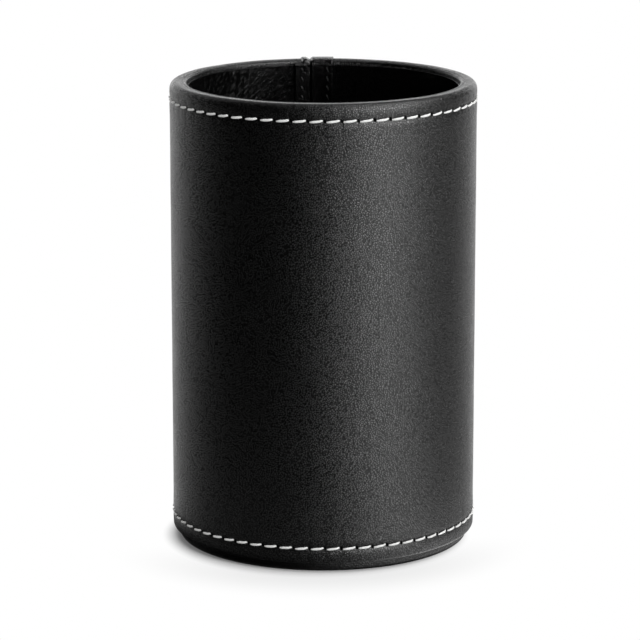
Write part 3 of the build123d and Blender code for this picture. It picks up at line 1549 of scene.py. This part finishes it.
@dataclass(frozen=True)
class ThreadStitch:
    """One stitch of twisted thread that dives into the leather at both ends.

    Attributes:
        length: Length, with the ends that go in.
        thread: Thickness of the thread.
        seat: Radius of the wall under the thread.
        face: Face of the wall that it lies on.
        lean: Lean from level, in radians, of the end towards +X when it stands at -Y.
        hook: How far the end towards +X curls up.
        tail_hook_share: Share of that curl by which the other end curls down.
        curl_from: Distance from the middle, as a share of the length, at which the curl starts.
        head_share: Share of its thickness that the thread loses at the end towards +X.
        tail_share: Share of its thickness that the thread loses at the other end.
        slim_from: Distance from the middle, as a share of the length, at which it grows thinner.
        dive: How deep the ends go in.
        dive_from: Distance from the middle, as a share of the length, at which they start to.
        flatten: Share of its thickness that the thread keeps across the wall.
        uv_unit: Thread thicknesses in one unit of the UV map.
        sides: Sides of the thread's section.
        cuts: Cuts along the stitch.
    """

    length: float
    thread: float
    seat: float
    face: Face
    lean: float
    hook: float = 0.0
    tail_hook_share: float = 0.5
    curl_from: float = 0.15
    head_share: float = 0.1
    tail_share: float = 0.4
    slim_from: float = 0.1
    dive: float = 0.55 * MM
    dive_from: float = 0.3
    flatten: float = 0.82
    uv_unit: float = 4.0
    sides: int = 8
    cuts: int = 7

    UV_NAME = "thread_lay"
    END = 0.5

    def model(self, bm: BMesh) -> None:
        """Adds the stitch to an empty mesh at +X, at level zero.

        Args:
            bm: The mesh being made.
        """
        bmesh.ops.create_cone(
            bm, cap_ends=True, cap_tris=False, segments=self.sides, radius1=self.thread / 2,
            radius2=self.thread / 2, depth=self.length,
        )
        runs = [edge for edge in bm.edges if edge.verts[0].co.z * edge.verts[1].co.z < 0]
        bmesh.ops.subdivide_edges(bm, edges=runs, cuts=self.cuts, use_grid_fill=True)
        self._lay_uv(bm)
        for vert in bm.verts:
            vert.co = self._bent(vert.co)

    def _lay_uv(self, bm: BMesh) -> None:
        """Maps the thread: its length in thread thicknesses, and once round.

        Args:
            bm: The mesh of the straight thread, along Z.
        """
        layer = bm.loops.layers.uv.new(self.UV_NAME)
        for face in bm.faces:
            middle = face.calc_center_median()
            centre = math.atan2(middle.y, middle.x)
            for loop in face.loops:
                angle = math.atan2(loop.vert.co.y, loop.vert.co.x) - centre
                angle = (angle + math.pi) % FULL_TURN - math.pi + centre
                loop[layer].uv = (loop.vert.co.z / self.thread / self.uv_unit, angle / FULL_TURN)

    def _bent(self, place: Vector) -> Vector:
        """Bends a place on the straight thread onto the wall.

        Args:
            place: A place on a straight thread along Z.

        Returns:
            The place on the stitch at +X.
        """
        share = place.z / self.length
        sunk = self.dive * smooth_step(self.dive_from, self.END, abs(share))
        loss = self.head_share if share > 0 else self.tail_share
        slim = 1 - loss * smooth_step(self.slim_from, self.END, abs(share))
        curl = smooth_step(self.curl_from, self.END, share)
        curl -= self.tail_hook_share * smooth_step(self.curl_from, self.END, -share)
        across = place.x * slim + self.hook * curl
        lift = (self.thread / 2 + place.y * slim) * self.flatten - sunk
        round_wall = place.z * math.cos(self.lean) - across * math.sin(self.lean)
        level = place.z * math.sin(self.lean) + across * math.cos(self.lean)
        radius = self.seat + self.face.value * lift
        turn = round_wall / self.seat
        return Vector((radius * math.cos(turn), radius * math.sin(turn), level))


@dataclass
class ThreadRow:
    """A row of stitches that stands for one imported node.

    Attributes:
        name: Name of the piece.
        node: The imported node.
        stitch: One stitch of the row.
        places: Angle about Z from +X, and level, of each stitch.
        slot: The record's slot for the thread.
        unevenness: Largest turn of a stitch out of line, in radians.
        seed: Seed of the unevenness.
    """

    name: str
    node: str
    stitch: ThreadStitch
    places: list[tuple[float, float]]
    slot: Slot
    unevenness: float = math.radians(1.6)
    seed: int = 7

    def build(self, material: bpy.types.Material) -> bpy.types.Object:
        """Models the row and dresses it.

        Args:
            material: Its finish.

        Returns:
            The piece.
        """
        bm = bmesh.new()
        self.stitch.model(bm)
        master = [*bm.verts, *bm.edges, *bm.faces]
        draw = random.Random(self.seed)
        seat = Vector((self.stitch.seat, 0, 0))
        for angle, level in self.places:
            made = bmesh.ops.duplicate(bm, geom=master)["geom"]
            verts = [item for item in made if isinstance(item, BMVert)]
            tilt = rotation(draw.uniform(-self.unevenness, self.unevenness), "X")
            bmesh.ops.rotate(bm, verts=verts, cent=seat, matrix=tilt)
            bmesh.ops.rotate(bm, verts=verts, cent=(0, 0, 0), matrix=rotation(angle))
            bmesh.ops.translate(bm, verts=verts, vec=(0, 0, level))
        bmesh.ops.delete(bm, geom=master, context="VERTS")
        return as_piece(self.name, bm, material, self.slot, self.node)


@dataclass
class WhiteStitching:
    """The two rows of white saddle stitches round the cup.

    Attributes:
        cup: Sizes of the cup.
        thread: Thickness of the thread.
        seat_depth: How deep in the wall the thread lies.
        lean: Lean of the stitches from level.
        hook: How far one end of a stitch curls up.
        reach: How much longer a stitch is than what shows of it.
    """

    cup: Cup
    thread: float = 0.6 * MM
    seat_depth: float = 0.2 * MM
    lean: float = math.radians(4.5)
    hook: float = 0.14 * MM
    reach: float = 0.25 * MM

    def build(self, material: bpy.types.Material) -> list[bpy.types.Object]:
        """Models both rows and dresses them.

        Args:
            material: Their finish.

        Returns:
            The two pieces.
        """
        made = []
        for name, row in zip(("top", "bottom"), self.cup.rows):
            stitch = ThreadStitch(
                length=row.stitch + self.reach,
                thread=self.thread,
                seat=row.radius - self.seat_depth,
                face=Face.OUTSIDE,
                lean=self.lean,
                hook=self.hook,
            )
            places = [(angle, row.level) for angle in row.angles()]
            node = f"{name}_stitching"
            thread = ThreadRow(f"{name}_white_thread", node, stitch, places, Slot.WHITE_THREAD)
            made.append(thread.build(material))
        return made


@dataclass
class SeamStitching:
    """The four upright rows of black stitches beside the seam, two inside the cup and two outside.

    Attributes:
        cup: Sizes of the cup.
        thread: Thickness of the thread.
        stitch: Length of a stitch.
        pitch: Distance from one stitch to the next.
        slant: Lean of the stitches from upright.
        dive: How deep their ends go in.
        sides: Sides of the thread's section.
        cuts: Cuts along a stitch.
    """

    cup: Cup
    thread: float = 0.45 * MM
    stitch: float = 1.5 * MM
    pitch: float = 2.5 * MM
    slant: float = math.radians(22)
    dive: float = 0.35 * MM
    sides: int = 6
    cuts: int = 3

    def build(self, material: bpy.types.Material) -> list[bpy.types.Object]:
        """Models the four rows and dresses them."""
        return [self._row(side, face).build(material) for side in Side for face in Face]

    def _row(self, side: Side, face: Face) -> ThreadRow:
        """Plans one row.

        Args:
            side: Side of the seam.
            face: Face of the wall that it is sewn to.

        Returns:
            The row.
        """
        radius = self.cup.flap_radius if face is Face.INSIDE else self.cup.outer_radius
        hand = side.name.lower()
        where = face.name.lower()
        node = f"{hand}_seam_thread_{where}"
        stitch = ThreadStitch(
            length=self.stitch,
            thread=self.thread,
            seat=radius,
            face=face,
            lean=math.pi / 2 + face.value * self.slant,
            dive=self.dive,
            sides=self.sides,
            cuts=self.cuts,
        )
        places = self._places(node, radius)
        return ThreadRow(f"{hand}_black_thread_{where}", node, stitch, places, Slot.BLACK_THREAD)

    def _places(self, node: str, radius: float) -> list[tuple[float, float]]:
        """Reads the places of a row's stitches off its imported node.

        Args:
            node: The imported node.
            radius: Radius of the wall that it is sewn to.

        Returns:
            Angle about Z and level of each stitch.
        """
        low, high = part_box(node)
        tall = self.stitch * math.cos(self.slant)
        count = round((high.z - low.z - tall) / self.pitch) + 1
        angle = math.pi / 2 - math.asin((low.x + high.x) / 2 / radius)
        middle = (low.z + high.z) / 2
        return [(angle, middle + (number - (count - 1) / 2) * self.pitch) for number in range(count)]


def on_stage(name: str, bm: BMesh, shader: Shader) -> bpy.types.Object:
    """Turns a finished mesh into an object for the studio, which is not attached to the cup.

    Args:
        name: Name of the thing.
        bm: The finished mesh, which is freed.
        shader: Its finish.

    Returns:
        The thing.
    """
    thing = as_object(name, bm, shader.owner)
    return thing


@dataclass(frozen=True)
class Glow:
    """A soft patch of light on the tent, at an angle to the right of the camera.

    Attributes:
        azimuth: Its middle.
        width: Its half width.
        low: Its level at the table, where 1 is white.
        high: Its level higher up.
    """

    azimuth: float
    width: float
    low: float
    high: float


@dataclass
class LightTent:
    """A round tent of soft light that only the cup's reflections see, dark in front.

    Attributes:
        front: Direction from the cup to the camera, as an angle from -Y towards +X.
        glows: Patches of light on the tent.
        dark: Level in front.
        back: Level behind, at the table.
        back_lift_share: Share of that level that it gains higher up.
        back_fade: Heights between which it fades behind, in millimetres.
        back_rest_share: Share of it that is left above them.
        back_from: Angle from the front at which the tent starts to grow light.
        back_to: Angle from the front at which it is as light as behind.
        left_narrowing: How much further round it starts to grow light higher up, on the left.
        right_narrowing: The same on the right.
        middle: Angles in front between which the left passes into the right.
        lift_to: Height at which the light stops growing, in millimetres.
        contact_share: Share of its light that the tent loses beside the cup.
        contact_reach: How far that loss reaches, in millimetres.
        halo: Level of the white table just round the cup.
        halo_reach: How far that goes out, in millimetres.
        halo_end: Places between which it ends beside the cup, in millimetres inwards from the hole.
        overhead_back: Level overhead, behind the cup.
        overhead_right: Level overhead, to the right of the cup.
        behind: Distances in front of the cup between which the light behind it ends, in millimetres.
        beside: Distances to its right between which the light on the right begins.
        back_dimming: Distances to its right between which the light behind it grows dimmer.
        back_dimmed_share: Share of that light which is left there.
        side_dimming: Distances in front of it between which the light on the right grows dimmer.
        side_dimmed_share: Share of that light which is left there.
        inner: Radius of the hole that the cup stands in.
        outer: Radius of the tent.
        low: Height of its floor.
        high: Height of its canopy.
        steps: Steps round the tent.
    """

    front: float
    glows: Sequence[Glow] = (
        Glow(azimuth=math.radians(43), width=math.radians(27), low=6.3, high=0.0),
        Glow(azimuth=math.radians(47), width=math.radians(23), low=0.0, high=24.0),
        Glow(azimuth=math.radians(86), width=math.radians(17.5), low=0.7, high=0.0),
    )
    dark: float = 0.02
    back: float = 0.95
    back_lift_share: float = 1.0
    back_fade: Span = Span(340.0, 408.0)
    back_rest_share: float = 0.03
    back_from: float = math.radians(68)
    back_to: float = math.radians(148)
    left_narrowing: float = math.radians(37)
    right_narrowing: float = math.radians(75)
    middle: Span = Span(-0.5, 0.5)
    lift_to: float = 230.0
    contact_share: float = 0.45
    contact_reach: float = 150.0
    halo: float = 1.0
    halo_reach: float = 60.0
    halo_end: Span = Span(-16.0, -4.0)
    overhead_back: float = 0.75
    overhead_right: float = 9.6
    behind: Span = Span(-350.0, -50.0)
    beside: Span = Span(-50.0, 320.0)
    back_dimming: Span = Span(-50.0, 100.0)
    back_dimmed_share: float = 0.45
    side_dimming: Span = Span(150.0, 550.0)
    side_dimmed_share: float = 0.55
    inner: float = 38.4 * MM
    outer: float = 0.9
    low: float = 0.5 * MM
    high: float = 0.62
    steps: int = 96

    def build(self) -> None:
        """Stands the tent round the cup and hangs its canopy."""
        ring = bmesh.new()
        corners = [(self.inner, self.low), (self.outer, self.low), (self.outer, self.high)]
        verts = [ring.verts.new((radius, 0, level)) for radius, level in corners]
        edges = [ring.edges.new(pair) for pair in zip(verts, verts[1:])]
        bmesh.ops.spin(
            ring, geom=[*verts, *edges], cent=(0, 0, 0), axis=(0, 0, 1), angle=FULL_TURN, steps=self.steps,
            dvec=(0, 0, 0), use_merge=True,
        )
        lid = bmesh.new()
        made = bmesh.ops.create_circle(lid, cap_ends=True, segments=self.steps, radius=self.outer)
        bmesh.ops.translate(lid, vec=(0, 0, self.high), verts=made["verts"])
        for name, bm, cloth in (("tent", ring, self._wall()), ("canopy", lid, self._canopy())):
            thing = on_stage(name, bm, cloth)
            thing.visible_camera = False
            thing.visible_diffuse = False
            thing.visible_shadow = False
            thing.visible_transmission = False

    def _ahead(self, shader: Shader, place: Place) -> Socket:
        """Angle of a place to the right of the camera, from minus to plus half a turn."""
        ahead = shader.math("SUBTRACT", math.pi - self.front, place.angle)
        return shader.math("WRAP", ahead, math.pi, -math.pi)

    def _wall(self) -> Shader:
        """Makes the cloth of the tent's wall and of the table inside it.

        Returns:
            The cloth.
        """
        shader = Shader.of_material("tent_cloth")
        place = shader.place()
        ahead = self._ahead(shader, place)
        rise = shader.ease(place.level, 0.0, self.lift_to)
        narrowing = shader.ease(ahead, *self.middle, self.left_narrowing, self.right_narrowing)
        start = shader.math("MULTIPLY_ADD", rise, narrowing, self.back_from)
        level = shader.ease(shader.math("ABSOLUTE", ahead), start, self.back_to, self.dark, self.back)
        lift = shader.math("MULTIPLY_ADD", rise, self.back_lift_share, 1.0)
        level = shader.math("MULTIPLY", level, lift)
        below = shader.ease(place.level, *self.back_fade, 1.0, self.back_rest_share)
        level = shader.math("MULTIPLY", level, below)
        for glow in self.glows:
            away = shader.math("WRAP", shader.math("SUBTRACT", ahead, glow.azimuth), math.pi, -math.pi)
            patch = shader.math("MULTIPLY_ADD", rise, glow.high - glow.low, glow.low)
            level = shader.math("MULTIPLY_ADD", shader.bell(away, glow.width), patch, level)
        inward = shader.math("SUBTRACT", self.inner / MM, place.radius)
        halo = shader.math("EXPONENT", shader.math("DIVIDE", inward, self.halo_reach))
        halo = shader.math("MULTIPLY", halo, shader.ease(inward, *self.halo_end, self.halo, 0.0))
        near = shader.math("EXPONENT", shader.math("DIVIDE", inward, self.contact_reach))
        contact = shader.math("MULTIPLY_ADD", near, -self.contact_share, 1.0)
        return self._lit(shader, shader.math("MULTIPLY", shader.math("ADD", level, halo), contact))

    def _canopy(self) -> Shader:
        """Makes the cloth overhead, lit behind the cup and more brightly to its right.

        Returns:
            The cloth.
        """
        shader = Shader.of_material("canopy_cloth")
        place = shader.place()
        ahead = self._ahead(shader, place)
        right = shader.math("MULTIPLY", place.radius, shader.math("SINE", ahead))
        front = shader.math("MULTIPLY", place.radius, shader.math("COSINE", ahead))
        back = shader.ease(front, *self.behind, self.overhead_back, 0.0)
        dimmed = shader.ease(right, *self.back_dimming, 1.0, self.back_dimmed_share)
        back = shader.math("MULTIPLY", back, dimmed)
        side = shader.ease(right, *self.beside, 0.0, self.overhead_right)
        side = shader.math("MULTIPLY", side, shader.ease(front, *self.behind))
        dimmed = shader.ease(front, *self.side_dimming, 1.0, self.side_dimmed_share)
        side = shader.math("MULTIPLY", side, dimmed)
        return self._lit(shader, shader.math("ADD", back, side))

    @staticmethod
    def _lit(shader: Shader, level: Socket) -> Shader:
        """Makes a cloth glow.

        Args:
            shader: The cloth being made.
            level: How bright it is, where 1 is white.

        Returns:
            The cloth.
        """
        shader.set(Base_Color=(0, 0, 0, 1), Roughness=1.0, Specular_IOR_Level=0.0)
        shader.set(Emission_Color=(1, 1, 1, 1), Emission_Strength=level)
        shader.owner.cycles.emission_sampling = "NONE"
        return shader


@dataclass(frozen=True)
class Softbox:
    """A soft lamp that aims at the cup.

    Attributes:
        name: Name of the lamp.
        azimuth: Angle to the right of the camera.
        distance: Level distance from the cup's axis.
        level: Height.
        size: Width and height of its face.
        power: Power in watts.
    """

    name: str
    azimuth: float
    distance: float
    level: float
    size: tuple[float, float]
    power: float


@dataclass
class Studio:
    """A plain white table in soft light, and the camera at the photograph's place.

    Attributes:
        azimuth: Direction from the cup to the camera, as an angle from -Y towards +X.
        pitch: How steeply the camera looks down.
        distance: Distance of the camera from what it looks at.
        target_level: Height of what it looks at.
        target_left: How far to the left of the cup's axis it looks.
        lens: Focal length in millimetres.
        clip_end: How far it sees.
        floor_radius: Radius of the table.
        floor_steps: Steps round the table.
        floor_colour: Level of the table's own colour, under the cup.
        floor_roughness: Roughness of the table.
        shade: Radii between which the table turns from its own colour to white, in millimetres.
        near_glow: Share of the white at the first of them.
        tail: Radii between which the shadow's faint tail ends, in millimetres.
        tail_front: Places along Y between which it fades towards the back, in millimetres.
        tail_share: Share of the white that it takes away.
        shade_azimuth: Direction of the shadow, to the right of the camera.
        shade_shift: How far the shadow lies out from under the cup.
        room_level: Level of the room as a light.
        lamps: The lamps.
    """

    azimuth: float = math.radians(-5.55)
    pitch: float = math.radians(13.0)
    distance: float = 880 * MM
    target_level: float = 57.42 * MM
    target_left: float = 0.86 * MM
    lens: float = 187.2
    clip_end: float = 30.0
    floor_radius: float = 8.0
    floor_steps: int = 64
    floor_colour: float = 0.82
    floor_roughness: float = 0.9
    shade: Span = Span(35.8, 41.3)
    near_glow: float = 0.08
    tail: Span = Span(38.0, 60.0)
    tail_front: Span = Span(-45.0, -5.0)
    tail_share: float = 0.18
    shade_azimuth: float = math.radians(-30)
    shade_shift: float = 4 * MM
    room_level: float = 0.25
    lamps: Sequence[Softbox] = (
        Softbox("key", math.radians(40), distance=0.75, level=0.36, size=(0.4, 0.7), power=3.9),
        Softbox("top", math.radians(50), distance=0.2, level=1.0, size=(1.0, 1.0), power=5.7),
    )

    def build(self) -> None:
        """Sets up the floor, the light and the camera."""
        bpy.context.scene.view_settings.view_transform = "Standard"
        self._floor()
        self._room()
        for lamp in self.lamps:
            self._hang(lamp)
        LightTent(self.azimuth).build()
        self._camera()

    def direction(self, azimuth: float) -> Vector:
        """Level direction from the cup at an angle to the right of the camera."""
        turned = self.azimuth + azimuth
        return Vector((math.sin(turned), -math.cos(turned), 0))

    def _camera(self) -> None:
        """Places the camera."""
        data = bpy.data.cameras.new("camera")
        data.lens = self.lens
        data.clip_end = self.clip_end
        camera = bpy.data.objects.new("camera", data)
        back = self.direction(0) * math.cos(self.pitch) + Vector((0, 0, math.sin(self.pitch)))
        target = Vector((0, 0, self.target_level)) - self.direction(math.pi / 2) * self.target_left
        camera.location = target + back * self.distance
        camera.rotation_euler = (-back).to_track_quat("-Z", "Y").to_euler()
        bpy.context.scene.collection.objects.link(camera)
        bpy.context.scene.camera = camera

    def _floor(self) -> None:
        """Lays the white table that the cup stands on, whose shadow stays close to the cup."""
        bm = bmesh.new()
        bmesh.ops.create_circle(bm, cap_ends=True, segments=self.floor_steps, radius=self.floor_radius)
        shader = Shader.of_material("white_table")
        place = shader.place()
        share = shader.ease(place.radius, *self.shade, self.near_glow, 1.0)
        share = shader.math("MULTIPLY", shader.seen(), share)
        _, back, _ = shader.axes(place.vector)
        tail = shader.ease(place.radius, *self.tail, -self.tail_share, 0.0)
        tail = shader.math("MULTIPLY", tail, shader.ease(back, *self.tail_front, 1.0, 0.0))
        glow = shader.math("MULTIPLY", share, shader.math("ADD", tail, 1.0))
        colour = shader.tint(share, grey(self.floor_colour), grey(0.0))
        shader.set(Base_Color=colour, Roughness=self.floor_roughness, Specular_IOR_Level=0.0)
        shader.set(Emission_Color=(1, 1, 1, 1), Emission_Strength=glow)
        table = on_stage("table", bm, shader)
        table.location = self.direction(self.shade_azimuth) * self.shade_shift

    def _room(self) -> None:
        """Sets a white room that lights the cup dimly from all round."""
        shader = Shader.of_world("room")
        level = shader.math("MAXIMUM", shader.seen(), self.room_level)
        shader.set(Color=(1, 1, 1, 1), Strength=level)
        bpy.context.scene.world = shader.owner

    def _hang(self, softbox: Softbox) -> None:
        """Hangs a lamp, whose mirror image the tent's glow stands for.

        Args:
            softbox: The lamp.
        """
        data = bpy.data.lights.new(softbox.name, "AREA")
        data.shape = "RECTANGLE"
        data.size, data.size_y = softbox.size
        data.energy = softbox.power
        lamp = bpy.data.objects.new(softbox.name, data)
        lamp.location = self.direction(softbox.azimuth) * softbox.distance + Vector((0, 0, softbox.level))
        aim = Vector((0, 0, self.target_level)) - lamp.location
        lamp.rotation_euler = aim.to_track_quat("-Z", "Y").to_euler()
        lamp.visible_glossy = False
        bpy.context.scene.collection.objects.link(lamp)


def main() -> None:
    """Builds the cup's pieces in order, reports each one, and sets up the studio."""
    logging.basicConfig(level=logging.INFO, format="%(relativeCreated)d ms %(message)s")
    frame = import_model()
    cup = Cup.from_frame()
    gathers = Gathers(cup.inner_radius / MM, cup.lining_high / MM)
    creases = DrawnCreases(cup.lining_radius / MM)
    folded = SHADED_FOLD_LEATHER.material(reliefs=[gathers])
    left_fold = SeamFold(
        cup, Side.LEFT, flap_width=4.4 * MM, hump_width=2.4 * MM,
        slit_round=0.35 * MM, end_round=0.3 * MM, drape=1.0 * MM,
    )
    right_fold = SeamFold(
        cup, Side.RIGHT, flap_width=5.8 * MM, hump_width=5.8 * MM,
        slit_round=0.28 * MM, end_round=0.15 * MM, drape=0.7 * MM,
    )
    pieces = [
        LeatherCover(cup).build(COVER_LEATHER.material(cup.rows, [gathers])),
        left_fold.build(folded),
        right_fold.build(folded),
        *Lining(cup).build(LINING_LEATHER.material(reliefs=[gathers, creases])),
        BaseDisc(cup).build(BASE_BOARD.material()),
        *WhiteStitching(cup).build(WHITE_THREAD.material()),
        *SeamStitching(cup).build(BLACK_THREAD.material()),
    ]
    for piece in pieces:
        LOG.info("%s: %d faces", piece.name, len(piece.data.polygons))
    core = CORE_BOARD.material()
    for node in ("core_tube", "core_floor"):
        frame["nodes"][node].data.materials.clear()
        frame["nodes"][node].data.materials.append(core)
    Studio().build()


if __name__ == "__main__":
    main()
